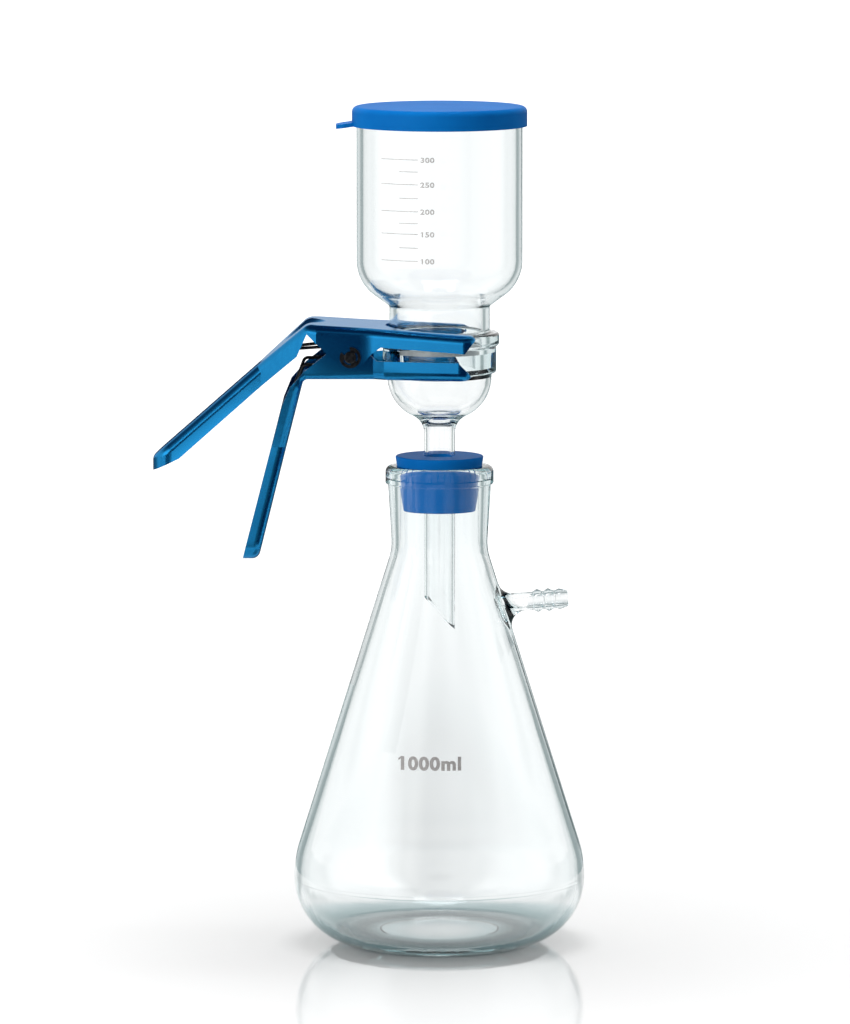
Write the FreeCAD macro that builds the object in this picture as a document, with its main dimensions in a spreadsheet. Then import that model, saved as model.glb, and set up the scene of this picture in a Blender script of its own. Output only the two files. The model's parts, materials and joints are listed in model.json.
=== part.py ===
import FreeCAD, Part
import math
import os
import re
import Sketcher

# Vacuum filtration unit: a graduated funnel clamped on a fritted support base, whose
# stem passes through a bored stopper into a conical filtering flask with a side arm.
# Frame: +Z up, origin on the standing surface at the centre of the flask's foot.
# The side arm points along +X and the handles of the spring clamp along -X.

SIZES = {
    # filtering flask, blown in one piece with its side arm
    "flask_height": 226.7,
    "flask_body_radius": 68.4,
    "flask_foot_round": 31.0,
    "flask_foot_ring": 29.0,
    "flask_push_up": 1.6,
    "flask_cone_start": 40.2,
    "flask_cone_round": 50.0,
    "flask_neck_length": 39.3,
    "flask_neck_radius": 22.3,
    "flask_neck_round": 26.0,
    "flask_neck_top_radius": 24.2,
    "flask_wall": 3.2,
    "flask_floor": 4.0,
    "flask_floor_round": 6.0,
    "flask_bore_radius": 18.6,
    "bead_height": 8.7,
    "bead_radius": 25.4,
    "bead_round": 3.0,
    "bead_under_round": 1.0,
    # side arm with three olives for a hose
    "arm_drop": 67.7,
    "arm_tilt": 4.5,
    "arm_tip": 60.6,
    "arm_start": 22.0,
    "arm_radius": 4.25,
    "arm_bore_radius": 2.6,
    "arm_root_round": 7.0,
    "olive_radius": 5.5,
    "olive_last_radius": 4.9,
    "olive_waist_radius": 4.0,
    "olive_tip_radius": 3.7,
    "olive_pitch": 5.1,
    "olive_round": 0.9,
    # bored stopper
    "stopper_rise": 4.6,
    "stopper_length": 25.4,
    "stopper_top_radius": 20.75,
    "stopper_bottom_radius": 16.75,
    "stopper_round": 0.7,
    "stopper_fit": 0.05,
    # support base with bulb and stem
    "base_rise": 56.6,
    "base_flange_height": 12.7,
    "base_flange_radius": 26.6,
    "base_edge_round": 1.2,
    "base_bore_radius": 17.0,
    "base_wall": 2.3,
    "bulb_radius": 24.4,
    "bulb_round": 20.0,
    "bulb_drop": 2.1,
    "stem_radius": 7.3,
    "stem_wall": 1.7,
    "stem_root_round": 9.0,
    "stem_reach": 134.3,
    "stem_tip_rise": 15.7,
    # sintered disc
    "frit_radius": 18.8,
    "frit_thickness": 3.5,
    "frit_fit": 0.05,
    # funnel
    "funnel_height": 109.7,
    "funnel_flange_radius": 27.9,
    "funnel_flange_height": 6.2,
    "funnel_flange_round": 1.3,
    "funnel_neck_radius": 23.5,
    "funnel_neck_bore": 20.0,
    "funnel_neck_height": 12.4,
    "funnel_neck_round": 1.5,
    "funnel_radius": 38.8,
    "funnel_wall": 2.9,
    "funnel_shoulder_rise": 11.2,
    "funnel_shoulder_round": 20.0,
    "funnel_rim_round": 1.0,
    # lid
    "lid_thickness": 2.4,
    "lid_skirt_depth": 9.2,
    "lid_skirt_wall": 1.8,
    "lid_gap": 0.35,
    "lid_edge_round": 2.6,
    "lid_plug_depth": 7.0,
    "lid_plug_wall": 1.8,
    "lid_tab_length": 7.4,
    "lid_tab_width": 16.0,
    "lid_tab_thickness": 1.9,
    "lid_tab_drop": 1.2,
    "lid_tab_round": 4.0,
    # spring clamp, two stamped jaws on one pin
    "jaw_sheet": 1.3,
    "jaw_clearance": 0.05,
    "jaw_slot_radius": 25.3,
    "jaw_arm_half_width": 34.5,
    "jaw_half_width": 25.5,
    "jaw_waist_ahead": 7.6,
    "jaw_waist_round": 30.0,
    "jaw_bend_round": 4.0,
    "jaw_tip_round": 5.0,
    "cheek_gap": 0.25,
    "pivot_reach": 41.6,
    "pivot_drop": 3.3,
    "pivot_radius": 2.75,
    "pivot_fit": 0.1,
    "pin_end": 1.9,
    "clip_radius": 4.9,
    "clip_sheet": 0.8,
    "clip_groove_radius": 2.1,
    "clip_gap": 0.1,
    "clip_throat": 2.3,
    "clip_hollow": 3.5,
    "clip_turn": 32.0,
    "pin_chamfer": 0.5,
    "wire_radius": 0.75,
    "coil_radius": 4.3,
    "coil_pitch": 1.6,
    "coil_turns": 4,
    "coil_outer": 17.6,
    "spring_seat": 0.3,
    "spring_bend": 2.4,
    "leg_tilt": 5.2,
    "leg_knee": 4.0,
    "leg_bend": 12.0,
    "leg_reach": 28.0,
    "leg_half_gap": 5.5,
    "loop_half_width": 6.0,
    "loop_depth": 25.8,
    "loop_knee": 5.0,
    "loop_lift": 0.5,
    "loop_taper": 6.0,
    "upper_tilt": 3.5,
    "upper_contact": 8.0,
    "upper_tip": 16.7,
    "upper_bend_back": 19.9,
    "upper_lip": 8.3,
    "dish_radius": 22.0,
    "dish_depth": 4.0,
    "dish_tilt": 25.5,
    "upper_handle_angle": 41.2,
    "upper_handle_end": 134.4,
    "upper_handle_depth": 8.6,
    "upper_handle_tip_depth": 5.0,
    "handle_half_width": 9.0,
    "handle_taper": 26.0,
    "handle_bend_round": 6.0,
    "lower_turn_round": 2.5,
    "lower_taper": 30.0,
    "lower_taper_round": 10.0,
    "lower_tip": 14.6,
    "lower_bend_back": 21.8,
    "lower_lip": 8.9,
    "lower_waist_ahead": 10.6,
    "lower_flare": 5.0,
    "lower_handle_angle": 76.0,
    "lower_handle_drop": 86.65,
    "lower_handle_depth": 7.3,
}

DERIVED = {
    # the neck, the side arm and all that stands in the neck keep their places from the flask's mouth
    "flask_neck_start": "=flask_height - flask_neck_length",
    "arm_level": "=flask_height - arm_drop",
    "base_joint_level": "=flask_height + base_rise",
    "stem_tip_level": "=base_joint_level - stem_reach",
    "pivot_level": "=base_joint_level - pivot_drop",
    # the wall of the flask leans inward by this many millimetres per millimetre of height
    "cone_lean": "=(flask_body_radius - flask_neck_radius) / (flask_neck_start - flask_cone_start)",
    "bead_level": "=flask_height - bead_height",
    "olive_start": "=arm_tip - 3.25 * olive_pitch",
    "floor_level": "=flask_push_up + flask_floor",
    "cavity_radius": "=flask_body_radius - flask_wall",
    "floor_radius": "=flask_body_radius - flask_foot_round"
                    " + sqrt((flask_foot_round - flask_wall) ^ 2 - (flask_foot_round - floor_level) ^ 2)",
    "cavity_cone_start": "=flask_cone_start - flask_wall * tan(atan(cone_lean) / 2)",
    "cavity_lean_wall": "=flask_wall / cos(atan(cone_lean))",
    "bore_start": "=flask_cone_start"
                  " + (flask_body_radius - cavity_lean_wall - flask_bore_radius) / cone_lean",
    # the stopper's taper sets the ground mouth that it is pressed into
    "stopper_top": "=flask_height + stopper_rise",
    "stopper_bottom": "=stopper_top - stopper_length",
    "stopper_taper": "=(stopper_top_radius - stopper_bottom_radius) / stopper_length",
    "mouth_radius": "=stopper_top_radius - stopper_rise * stopper_taper + stopper_fit",
    "mouth_depth": "=(mouth_radius - flask_bore_radius) / stopper_taper",
    "stopper_hole_radius": "=stem_radius + stopper_fit",
    "base_flange_level": "=base_joint_level - base_flange_height",
    "bulb_center_level": "=base_flange_level - bulb_drop",
    "bulb_center_radius": "=bulb_radius - bulb_round",
    "stem_bore_radius": "=stem_radius - stem_wall",
    "bulb_fall": "=sqrt(bulb_round ^ 2 - (stem_radius - bulb_center_radius) ^ 2)",
    "bulb_inner_fall": "=sqrt((bulb_round - base_wall) ^ 2"
                       " - (stem_bore_radius - bulb_center_radius) ^ 2)",
    "bulb_close": "=(bulb_radius - base_wall - base_bore_radius) * 0.8",
    "frit_level": "=base_joint_level - frit_thickness",
    "funnel_flange_top": "=base_joint_level + funnel_flange_height",
    "funnel_neck_top": "=funnel_flange_top + funnel_neck_height",
    "funnel_shoulder_level": "=funnel_neck_top + funnel_shoulder_rise",
    "funnel_top": "=base_joint_level + funnel_height",
    "funnel_bore_radius": "=funnel_radius - funnel_wall",
    "funnel_shoulder_lean": "=atan(funnel_shoulder_rise / (funnel_radius - funnel_neck_radius))",
    "funnel_inner_shoulder": "=funnel_shoulder_level"
                             " + funnel_wall * (1 / cos(funnel_shoulder_lean) - tan(funnel_shoulder_lean))",
    "funnel_bore_top": "=funnel_inner_shoulder"
                       " - (funnel_bore_radius - funnel_neck_bore) * tan(funnel_shoulder_lean)",
    "lid_top": "=funnel_top + lid_thickness",
    "lid_bottom": "=lid_top - lid_skirt_depth",
    "lid_inner_radius": "=funnel_radius + lid_gap",
    "lid_radius": "=lid_inner_radius + lid_skirt_wall",
    "lid_plug_radius": "=funnel_bore_radius - lid_gap",
    # both jaws splay ahead of the pin and are bent behind it
    "jaw_waist": "=pivot_reach - jaw_waist_ahead",
    "lower_waist": "=pivot_reach - lower_waist_ahead",
    "upper_bend": "=pivot_reach + upper_bend_back",
    "lower_bend": "=pivot_reach + lower_bend_back",
    # upper jaw: height of its plate over the funnel and at the bend, directions of its handle
    "upper_slope": "=tan(upper_tilt)",
    "upper_contact_level": "=funnel_flange_top + jaw_clearance + jaw_sheet / cos(upper_tilt)",
    "upper_bend_level": "=upper_contact_level + (upper_bend + upper_contact) * upper_slope",
    "upper_run": "=cos(upper_handle_angle)",
    "upper_fall": "=sin(upper_handle_angle)",
    "upper_tangent": "=handle_bend_round * tan((upper_tilt + upper_handle_angle) / 2)",
    "upper_turn_reach": "=upper_bend - upper_tangent * cos(upper_tilt)"
                        " + handle_bend_round * sin(upper_tilt)",
    "upper_turn_level": "=upper_bend_level - upper_tangent * sin(upper_tilt)"
                        " - handle_bend_round * cos(upper_tilt)",
    "upper_handle_length": "=(upper_handle_end - upper_bend) / upper_run",
    "upper_taper_start": "=upper_bend - upper_tangent - 1.5",
    "pivot_half_length": "=jaw_half_width + pin_end",
    "groove_near": "=jaw_half_width + clip_gap / 2",
    "groove_far": "=groove_near + clip_sheet + clip_gap",
    # both pairs of arms lie along one splayed line, with their tips rounded tangent to it
    "arm_splay": "=(jaw_arm_half_width - jaw_half_width) / (upper_tip - jaw_tip_round + jaw_waist)",
    "splay_run": "=cos(atan(arm_splay))",
    "waist_tangent": "=jaw_waist_round * tan(atan(arm_splay) / 2)",
    "lower_arm_half_width": "=jaw_arm_half_width - (upper_tip - lower_tip) * arm_splay",
    # lower jaw
    "lower_level": "=base_flange_level - jaw_clearance - jaw_sheet",
    "lower_handle_end": "=lower_level - lower_handle_drop",
    "lower_half_width": "=jaw_half_width - jaw_sheet - cheek_gap",
    "lower_run": "=cos(lower_handle_angle)",
    "lower_fall": "=sin(lower_handle_angle)",
    "lower_tangent": "=lower_turn_round * tan(lower_handle_angle / 2)",
    "lower_handle_length": "=lower_handle_drop / lower_fall",
    "lower_taper_level": "=lower_level - lower_tangent * lower_fall - 1",
    "lower_taper_angle": "=atan((lower_half_width - handle_half_width) / lower_taper)",
    "lower_taper_top": "=lower_taper_level + lower_taper_round * tan(lower_taper_angle / 2)",
}

doc = FreeCAD.newDocument("VacuumFiltrationUnit")
sheet = doc.addObject("Spreadsheet::Sheet", "Sizes")
ROW = 0
for alias, value in list(SIZES.items()) + list(DERIVED.items()):
    ROW = ROW + 1
    sheet.set("A%d" % ROW, alias)
    sheet.set("B%d" % ROW, str(value))
    sheet.setAlias("B%d" % ROW, alias)
doc.recompute()

WORD = re.compile(r"[a-z][a-z0-9_]*")


def bound(text):
    """Write the aliases in an expression as cells of the sheet."""
    return WORD.sub(lambda m: "Sizes." + m.group(0) if m.group(0) in SIZES or m.group(0) in DERIVED
                    else m.group(0), text)


def number(text):
    """The present value of an expression over the sheet's aliases."""
    value = sheet.evalExpression(bound(text))
    return float(getattr(value, "Value", value))


def new_body(label):
    body = doc.addObject("PartDesign::Body", label)
    body.Label = label
    return body


def origin_plane(body, role):
    return [f for f in body.Origin.OriginFeatures if f.Role == role][0]


def new_sketch(body, name, role):
    sketch = body.newObject("Sketcher::SketchObject", name)
    sketch.AttachmentSupport = (origin_plane(body, role), [""])
    sketch.MapMode = "FlatFace"
    return sketch


def pin_coordinate(sketch, kind, geometry, end, text):
    """Hold one coordinate of a point at a size from the sheet."""
    if text is None:
        return
    if text == "0":
        axis = -2 if kind == "DistanceX" else -1
        sketch.addConstraint(Sketcher.Constraint("PointOnObject", geometry, end, axis))
        return
    index = sketch.addConstraint(Sketcher.Constraint(kind, -1, 1, geometry, end, number(text)))
    sketch.setExpression("Constraints[%d]" % index, bound(text))


def outline(sketch, corners):
    """A closed outline through corners (x, y); a corner (x, y, cx, cy, free) starts an arc about
    (cx, cy) whose far end keeps only the coordinate that isn't free."""
    count = len(corners)
    first = sketch.GeometryCount
    spots = [FreeCAD.Vector(number(c[0]), number(c[1]), 0) for c in corners]
    free = [None] * count
    turned = [False] * count
    for i in range(count):
        start = spots[i]
        stop = spots[(i + 1) % count]
        if len(corners[i]) == 2:
            sketch.addGeometry(Part.LineSegment(start, stop), False)
            continue
        center = FreeCAD.Vector(number(corners[i][2]), number(corners[i][3]), 0)
        radius = (start - center).Length
        a = math.atan2(start.y - center.y, start.x - center.x)
        b = math.atan2(stop.y - center.y, stop.x - center.x)
        circle = Part.Circle(center, FreeCAD.Vector(0, 0, 1), radius)
        turned[i] = (b - a) % (2 * math.pi) > math.pi + 1e-6
        if turned[i]:
            a, b = b, a
        sketch.addGeometry(Part.ArcOfCircle(circle, a, b), False)
        free[(i + 1) % count] = corners[i][4]
    for i in range(count):
        j = (i + 1) % count
        this_end = 1 if turned[i] else 2
        next_start = 2 if turned[j] else 1
        sketch.addConstraint(Sketcher.Constraint("Coincident", first + i, this_end, first + j, next_start))
    for i in range(count):
        start = 2 if turned[i] else 1
        if free[i] != "x":
            pin_coordinate(sketch, "DistanceX", first + i, start, corners[i][0])
        if free[i] != "y":
            pin_coordinate(sketch, "DistanceY", first + i, start, corners[i][1])
        if len(corners[i]) > 2:
            pin_coordinate(sketch, "DistanceX", first + i, 3, corners[i][2])
            pin_coordinate(sketch, "DistanceY", first + i, 3, corners[i][3])


def turn(body, name, corners, cut=False, axis="V_Axis"):
    """Revolve an outline in the XZ plane about the upright axis, as a solid or as a cut."""
    sketch = new_sketch(body, name + "Profile", "XZ_Plane")
    outline(sketch, corners)
    feature = body.newObject("PartDesign::Groove" if cut else "PartDesign::Revolution", name)
    feature.Profile = sketch
    feature.ReferenceAxis = (sketch, [axis])
    feature.Angle = 360
    doc.recompute()
    return feature


def ring(shape, radius, level):
    """Name of the round edge of a turned solid at a radius and a height."""
    for index, edge in enumerate(shape.Edges, start=1):
        curve = edge.Curve
        if isinstance(curve, Part.Circle) and abs(curve.Center.x) + abs(curve.Center.y) < 1e-5:
            if abs(curve.Radius - radius) < 1e-3 and abs(curve.Center.z - level) < 1e-3:
                return "Edge%d" % index
    raise ValueError("no round edge at radius %.3f, height %.3f" % (radius, level))


def round_rings(body, name, places, radius):
    """Round the turned edges at places (radius, height)."""
    base = body.Tip
    edges = [ring(base.Shape, number(r), number(z)) for r, z in places]
    fillet = body.newObject("PartDesign::Fillet", name)
    fillet.Base = (base, edges)
    fillet.setExpression("Radius", bound(radius))
    doc.recompute()
    return fillet


# ---------------------------------------------------------------- filtering flask
flask = new_body("filter_flask")
turn(flask, "FlaskForm", [
    ("0", "flask_push_up"),
    ("flask_foot_ring - flask_push_up", "flask_push_up"),
    ("flask_foot_ring", "0"),
    ("flask_body_radius", "0"),
    ("flask_body_radius", "flask_cone_start"),
    ("flask_neck_radius", "flask_neck_start"),
    ("flask_neck_top_radius", "bead_level"),
    ("bead_radius", "bead_level"),
    ("bead_radius", "flask_height"),
    ("0", "flask_height"),
])
round_rings(flask, "FlaskFoot", [("flask_body_radius", "0")], "flask_foot_round")
round_rings(flask, "FlaskCone", [("flask_body_radius", "flask_cone_start")], "flask_cone_round")
round_rings(flask, "FlaskShoulder", [("flask_neck_radius", "flask_neck_start")], "flask_neck_round")
round_rings(flask, "FlaskBead", [("bead_radius", "flask_height")], "bead_round")
round_rings(flask, "FlaskBeadUnder", [("bead_radius", "bead_level")], "bead_under_round")
arm_sketch = new_sketch(flask, "ArmProfile", "XZ_Plane")
arm_sketch.setExpression("AttachmentOffset.Base.y", bound("arm_level"))
arm_sketch.setExpression("AttachmentOffset.Rotation.Angle", bound("arm_tilt"))
outline(arm_sketch, [
    ("arm_start", "0"),
    ("arm_start", "arm_radius"),
    ("olive_start", "arm_radius"),
    ("olive_start + 0.45 * olive_pitch", "olive_radius"),
    ("olive_start + olive_pitch", "olive_waist_radius"),
    ("olive_start + 1.45 * olive_pitch", "olive_radius"),
    ("olive_start + 2 * olive_pitch", "olive_waist_radius"),
    ("olive_start + 2.45 * olive_pitch", "olive_last_radius"),
    ("arm_tip", "olive_tip_radius"),
    ("arm_tip", "0"),
])
arm = flask.newObject("PartDesign::Revolution", "ArmForm")
arm.Profile = arm_sketch
arm.ReferenceAxis = (arm_sketch, ["H_Axis"])
arm.Angle = 360
doc.recompute()


def arm_point(along):
    """A point of the side arm's centre line."""
    tilt = math.radians(number("arm_tilt"))
    return FreeCAD.Vector(along * math.cos(tilt), 0, number("arm_level") + along * math.sin(tilt))


def arm_rings(shape, spots):
    """Names of the round edges of the arm at distances along it with given radii."""
    names = []
    for index, edge in enumerate(shape.Edges, start=1):
        curve = edge.Curve
        if not isinstance(curve, Part.Circle):
            continue
        for along, radius in spots:
            if (curve.Center - arm_point(along)).Length < 1e-3 and abs(curve.Radius - radius) < 1e-3:
                names.append("Edge%d" % index)
    return names


def root_edges(shape, radius):
    """Names of the edges where the arm's tube of a radius meets the wall of the cone."""
    names = []
    axis = (arm_point(1) - arm_point(0)).normalize()
    for index, edge in enumerate(shape.Edges, start=1):
        if isinstance(edge.Curve, (Part.Circle, Part.Line)):
            continue
        spots = [v - arm_point(0) for v in edge.discretize(9)]
        reach = [(v - axis * v.dot(axis)).Length for v in spots]
        if max(reach) < radius + 1e-2 and min(reach) > radius - 1e-2:
            names.append("Edge%d" % index)
    return names


root_round = flask.newObject("PartDesign::Fillet", "ArmRoot")
root_round.Base = (arm, root_edges(arm.Shape, number("arm_radius")))
root_round.setExpression("Radius", bound("arm_root_round"))
doc.recompute()
crests = [
    (number("olive_start + 0.45 * olive_pitch"), number("olive_radius")),
    (number("olive_start + olive_pitch"), number("olive_waist_radius")),
    (number("olive_start + 1.45 * olive_pitch"), number("olive_radius")),
    (number("olive_start + 2 * olive_pitch"), number("olive_waist_radius")),
    (number("olive_start + 2.45 * olive_pitch"), number("olive_last_radius")),
    (number("arm_tip"), number("olive_tip_radius")),
]
olive_round = flask.newObject("PartDesign::Fillet", "OliveRounds")
olive_round.Base = (root_round, arm_rings(root_round.Shape, crests))
olive_round.setExpression("Radius", bound("olive_round"))
doc.recompute()
turn(flask, "FlaskCavity", [
    ("0", "floor_level"),
    ("floor_radius", "floor_level", "flask_body_radius - flask_foot_round", "flask_foot_round", "x"),
    ("cavity_radius", "flask_foot_round"),
    ("cavity_radius", "cavity_cone_start"),
    ("flask_bore_radius", "bore_start"),
    ("flask_bore_radius", "flask_height - mouth_depth"),
    ("mouth_radius", "flask_height"),
    ("mouth_radius", "flask_height + bead_height"),
    ("0", "flask_height + bead_height"),
], cut=True)
round_rings(flask, "CavityFoot", [("floor_radius", "floor_level")], "flask_floor_round")
round_rings(flask, "CavityCone", [("cavity_radius", "cavity_cone_start")], "flask_cone_round - flask_wall")
round_rings(flask, "CavityShoulder", [("flask_bore_radius", "bore_start")], "flask_neck_round + flask_wall")
bore_sketch = new_sketch(flask, "ArmBoreProfile", "XZ_Plane")
bore_sketch.setExpression("AttachmentOffset.Base.y", bound("arm_level"))
bore_sketch.setExpression("AttachmentOffset.Rotation.Angle", bound("arm_tilt"))
outline(bore_sketch, [
    ("arm_start", "0"),
    ("arm_start", "arm_bore_radius"),
    ("arm_tip + arm_radius", "arm_bore_radius"),
    ("arm_tip + arm_radius", "0"),
])
arm_bore = flask.newObject("PartDesign::Groove", "ArmBore")
arm_bore.Profile = bore_sketch
arm_bore.ReferenceAxis = (bore_sketch, ["H_Axis"])
arm_bore.Angle = 360
doc.recompute()

# ---------------------------------------------------------------- stopper
stopper = new_body("stopper")
turn(stopper, "StopperForm", [
    ("stopper_hole_radius", "stopper_bottom"),
    ("stopper_bottom_radius", "stopper_bottom"),
    ("stopper_top_radius", "stopper_top"),
    ("stopper_hole_radius", "stopper_top"),
])
round_rings(stopper, "StopperEdges", [("stopper_bottom_radius", "stopper_bottom"),
                                      ("stopper_top_radius", "stopper_top")], "stopper_round")

# ---------------------------------------------------------------- support base
base = new_body("support_base")
turn(base, "BaseForm", [
    ("0", "stem_tip_level"),
    ("stem_radius", "stem_tip_level"),
    ("stem_radius", "bulb_center_level - bulb_fall", "bulb_center_radius", "bulb_center_level", "x"),
    ("bulb_radius", "bulb_center_level"),
    ("bulb_radius", "base_flange_level"),
    ("base_flange_radius", "base_flange_level"),
    ("base_flange_radius", "base_joint_level"),
    ("0", "base_joint_level"),
])
round_rings(base, "BaseFlangeEdges", [("base_flange_radius", "base_flange_level"),
                                      ("base_flange_radius", "base_joint_level")], "base_edge_round")
round_rings(base, "StemRoot", [("stem_radius", "bulb_center_level - bulb_fall")], "stem_root_round")
turn(base, "BaseCavity", [
    ("0", "stem_tip_level - stem_radius"),
    ("stem_bore_radius", "stem_tip_level - stem_radius"),
    ("stem_bore_radius", "bulb_center_level - bulb_inner_fall",
     "bulb_center_radius", "bulb_center_level", "x"),
    ("bulb_radius - base_wall", "bulb_center_level"),
    ("base_bore_radius", "bulb_center_level + bulb_close"),
    ("base_bore_radius", "frit_level"),
    ("frit_radius + frit_fit", "frit_level"),
    ("frit_radius + frit_fit", "base_joint_level + frit_thickness"),
    ("0", "base_joint_level + frit_thickness"),
], cut=True)
tip_sketch = new_sketch(base, "TipProfile", "XZ_Plane")
outline(tip_sketch, [
    ("stem_radius", "stem_tip_level"),
    ("-stem_radius", "stem_tip_level + stem_tip_rise"),
    ("-stem_radius * 2", "stem_tip_level + stem_tip_rise"),
    ("-stem_radius * 2", "stem_tip_level - stem_radius"),
    ("stem_radius", "stem_tip_level - stem_radius"),
])
tip_cut = base.newObject("PartDesign::Pocket", "TipCut")
tip_cut.Profile = tip_sketch
tip_cut.Type = "ThroughAll"
tip_cut.Midplane = True
doc.recompute()

# ---------------------------------------------------------------- sintered disc
frit = doc.addObject("Part::Cylinder", "frit_disc")
frit.Label = "frit_disc"
frit.setExpression("Radius", bound("frit_radius"))
frit.setExpression("Height", bound("frit_thickness"))
frit.setExpression("Placement.Base.z", bound("frit_level"))
doc.recompute()

# ---------------------------------------------------------------- funnel
funnel = new_body("funnel")
turn(funnel, "FunnelForm", [
    ("0", "base_joint_level"),
    ("funnel_flange_radius", "base_joint_level"),
    ("funnel_flange_radius", "funnel_flange_top"),
    ("funnel_neck_radius", "funnel_flange_top"),
    ("funnel_neck_radius", "funnel_neck_top"),
    ("funnel_radius", "funnel_shoulder_level"),
    ("funnel_radius", "funnel_top"),
    ("0", "funnel_top"),
])
round_rings(funnel, "FunnelFlangeEdges", [("funnel_flange_radius", "base_joint_level"),
                                          ("funnel_flange_radius", "funnel_flange_top")],
            "funnel_flange_round")
round_rings(funnel, "FunnelNeckRoot", [("funnel_neck_radius", "funnel_flange_top")], "funnel_flange_round")
round_rings(funnel, "FunnelNeckTop", [("funnel_neck_radius", "funnel_neck_top")], "funnel_neck_round")
round_rings(funnel, "FunnelShoulder", [("funnel_radius", "funnel_shoulder_level")],
            "funnel_shoulder_round")
turn(funnel, "FunnelCavity", [
    ("0", "base_joint_level - funnel_wall"),
    ("funnel_neck_bore", "base_joint_level - funnel_wall"),
    ("funnel_neck_bore", "funnel_bore_top"),
    ("funnel_bore_radius", "funnel_inner_shoulder"),
    ("funnel_bore_radius", "funnel_top + funnel_wall"),
    ("0", "funnel_top + funnel_wall"),
], cut=True)
round_rings(funnel, "FunnelBoreTop", [("funnel_neck_bore", "funnel_bore_top")], "funnel_neck_round + 1")
round_rings(funnel, "FunnelInnerShoulder", [("funnel_bore_radius", "funnel_inner_shoulder")],
            "funnel_shoulder_round - funnel_wall")
round_rings(funnel, "FunnelRim", [("funnel_radius", "funnel_top"), ("funnel_bore_radius", "funnel_top")],
            "funnel_rim_round")

# ---------------------------------------------------------------- lid
lid = new_body("lid")
turn(lid, "LidForm", [
    ("0", "funnel_top"),
    ("lid_plug_radius - lid_plug_wall", "funnel_top"),
    ("lid_plug_radius - lid_plug_wall", "funnel_top - lid_plug_depth"),
    ("lid_plug_radius", "funnel_top - lid_plug_depth"),
    ("lid_plug_radius", "funnel_top"),
    ("lid_inner_radius", "funnel_top"),
    ("lid_inner_radius", "lid_bottom"),
    ("lid_radius", "lid_bottom"),
    ("lid_radius", "lid_top"),
    ("0", "lid_top"),
])
round_rings(lid, "LidEdge", [("lid_radius", "lid_top")], "lid_edge_round")
tab_sketch = new_sketch(lid, "TabProfile", "XZ_Plane")
outline(tab_sketch, [
    ("-lid_radius + lid_skirt_wall / 2", "lid_bottom"),
    ("-lid_radius + lid_skirt_wall / 2", "lid_bottom + lid_tab_thickness"),
    ("-lid_radius - lid_tab_length", "lid_bottom + lid_tab_thickness - lid_tab_drop"),
    ("-lid_radius - lid_tab_length", "lid_bottom - lid_tab_drop"),
])
tab = lid.newObject("PartDesign::Pad", "Tab")
tab.Profile = tab_sketch
tab.Midplane = True
tab.setExpression("Length", bound("lid_tab_width"))
doc.recompute()


def upright_edges(shape, x, y_size):
    """Names of the straight edges that stand at x and at plus and minus y_size."""
    names = []
    for index, edge in enumerate(shape.Edges, start=1):
        if not isinstance(edge.Curve, Part.Line):
            continue
        low, high = edge.firstVertex().Point, edge.lastVertex().Point
        if abs(low.x - high.x) > 1e-4 or abs(low.y - high.y) > 1e-4:
            continue
        if abs(low.x - x) < 1e-3 and abs(abs(low.y) - y_size) < 1e-3:
            names.append("Edge%d" % index)
    return names


tab_round = lid.newObject("PartDesign::Fillet", "TabRound")
tab_round.Base = (tab, upright_edges(tab.Shape, number("-lid_radius - lid_tab_length"),
                                     number("lid_tab_width / 2")))
tab_round.setExpression("Radius", bound("lid_tab_round"))
doc.recompute()


# ---------------------------------------------------------------- jaws of the spring clamp
def pad_across(body, name, corners, width):
    """A block as wide as width, centred on the XZ plane, with a side outline."""
    sketch = new_sketch(body, name + "Profile", "XZ_Plane")
    outline(sketch, corners)
    pad = body.newObject("PartDesign::Pad", name)
    pad.Profile = sketch
    pad.Midplane = True
    pad.setExpression("Length", bound(width))
    doc.recompute()
    return pad


def circle(sketch, x, y, radius):
    """A circle in a sketch, its centre and radius held at sizes from the sheet."""
    center = FreeCAD.Vector(number(x), number(y), 0)
    sketch.addGeometry(Part.Circle(center, FreeCAD.Vector(0, 0, 1), number(radius)), False)
    pin_coordinate(sketch, "DistanceX", 0, 3, x)
    pin_coordinate(sketch, "DistanceY", 0, 3, y)
    size = sketch.addConstraint(Sketcher.Constraint("Radius", 0, number(radius)))
    sketch.setExpression("Constraints[%d]" % size, bound(radius))


def cut_through(body, name, sketch):
    """Cut a sketch right through a body, both ways from the sketch's plane."""
    pocket = body.newObject("PartDesign::Pocket", name)
    pocket.Profile = sketch
    pocket.Type = "ThroughAll"
    pocket.Midplane = True
    doc.recompute()


def trim_plan(body, name, role, frame, corners):
    """Cut away all that lies outside a plan outline, right through the body."""
    sketch = new_sketch(body, name + "Plan", role)
    outline(sketch, frame)
    outline(sketch, corners)
    cut_through(body, name, sketch)


def round_edges(body, name, edges, radius):
    base = body.Tip
    fillet = body.newObject("PartDesign::Fillet", name)
    fillet.Base = (base, edges)
    fillet.setExpression("Radius", bound(radius))
    doc.recompute()
    return fillet


def upper_top(x, inset="0"):
    """Height of the upper plate's skin at x, or of a face sunk below it."""
    skin = "upper_contact_level - ((%s) - upper_contact) * upper_slope" % x
    return skin + " - (%s) / cos(upper_tilt)" % inset


def upper_handle(along, depth):
    """A corner of the upper handle, from distances along its crown and in from it."""
    x = "-upper_bend - (%s) * upper_run + (%s) * upper_fall" % (along, depth)
    z = "upper_bend_level - (%s) * upper_fall - (%s) * upper_run" % (along, depth)
    return x, z


def lower_handle(along, depth):
    """A corner of the lower handle, from distances along its crown and in from it."""
    x = "-lower_bend - (%s) * lower_run - (%s) * lower_fall" % (along, depth)
    z = "lower_level - (%s) * lower_fall + (%s) * lower_run" % (along, depth)
    return x, z


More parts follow.
